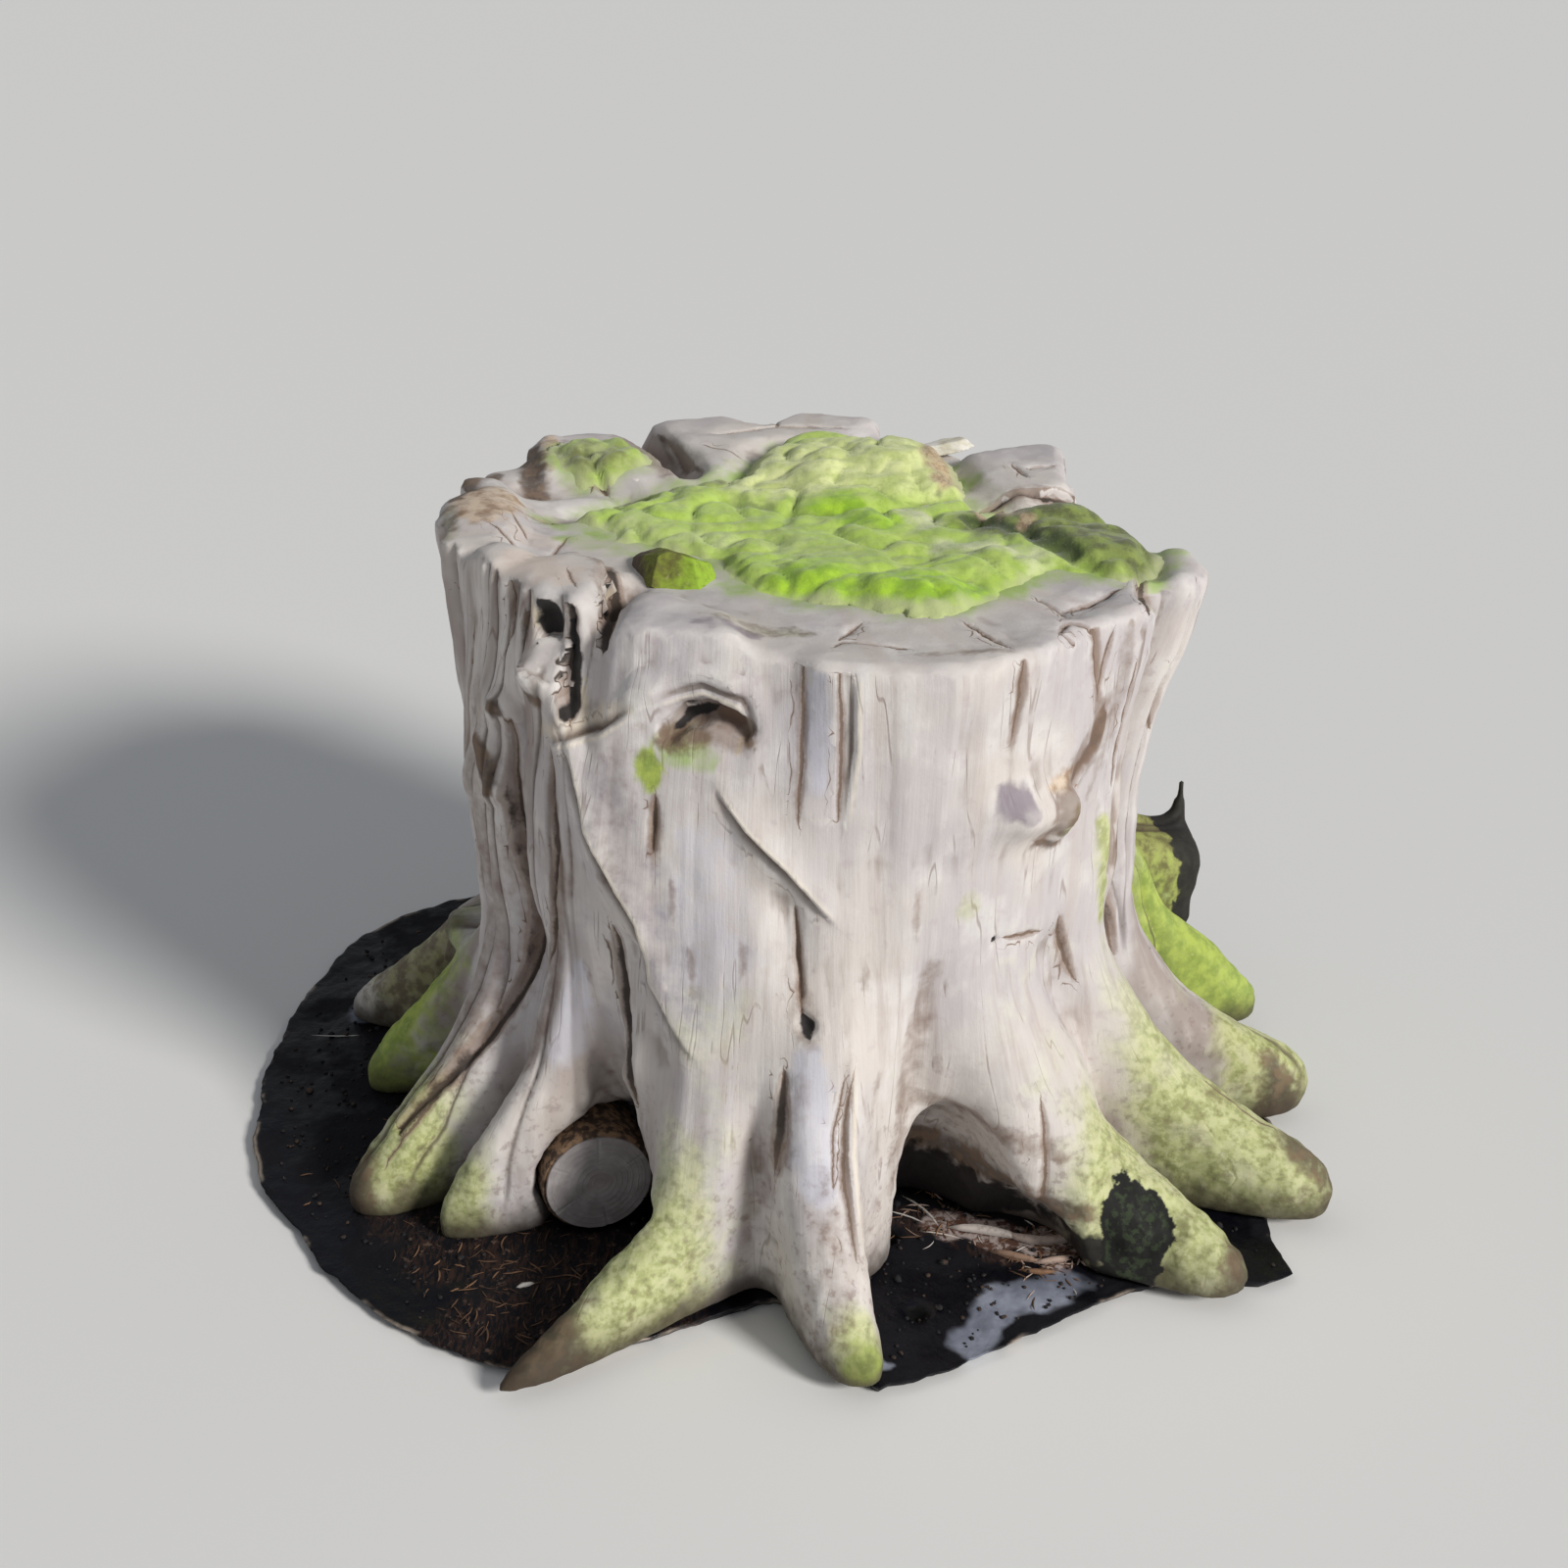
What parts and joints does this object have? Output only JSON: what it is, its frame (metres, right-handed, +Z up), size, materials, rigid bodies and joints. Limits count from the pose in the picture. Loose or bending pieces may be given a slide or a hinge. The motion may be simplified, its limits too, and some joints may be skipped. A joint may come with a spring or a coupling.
{
  "type": "tree stump",
  "caption": "Weathered tree stump with flared roots and a cracked mossy sawn top, standing on a thin ragged slab of soil.",
  "frame": {"origin": "on the soil's flat underside, on the trunk's axis", "axes": "+Z up, -Y towards the side the picture shows, +X to the right of that view"},
  "size_m": [0.8935, 0.8129, 0.5316],
  "materials": {
    "weathered_wood": "dry, bleached, rough",
    "soil": "damp crumbly earth",
    "root_wood": "dry sawn end",
    "moss": "soft matt moss",
    "olive_moss": "soft matt moss",
    "mossy_wood": "moss-covered wood",
    "splinter_wood": "bleached broken wood"
  },
  "bodies": {
    "root": {"stump": "weathered_wood", "soil": "soil", "sawn_root": "root_wood", "moss_cushion": "moss", "moss_left": "olive_moss", "mossy_chip": "mossy_wood", "splinter": "splinter_wood"}
  },
  "joints": []
}
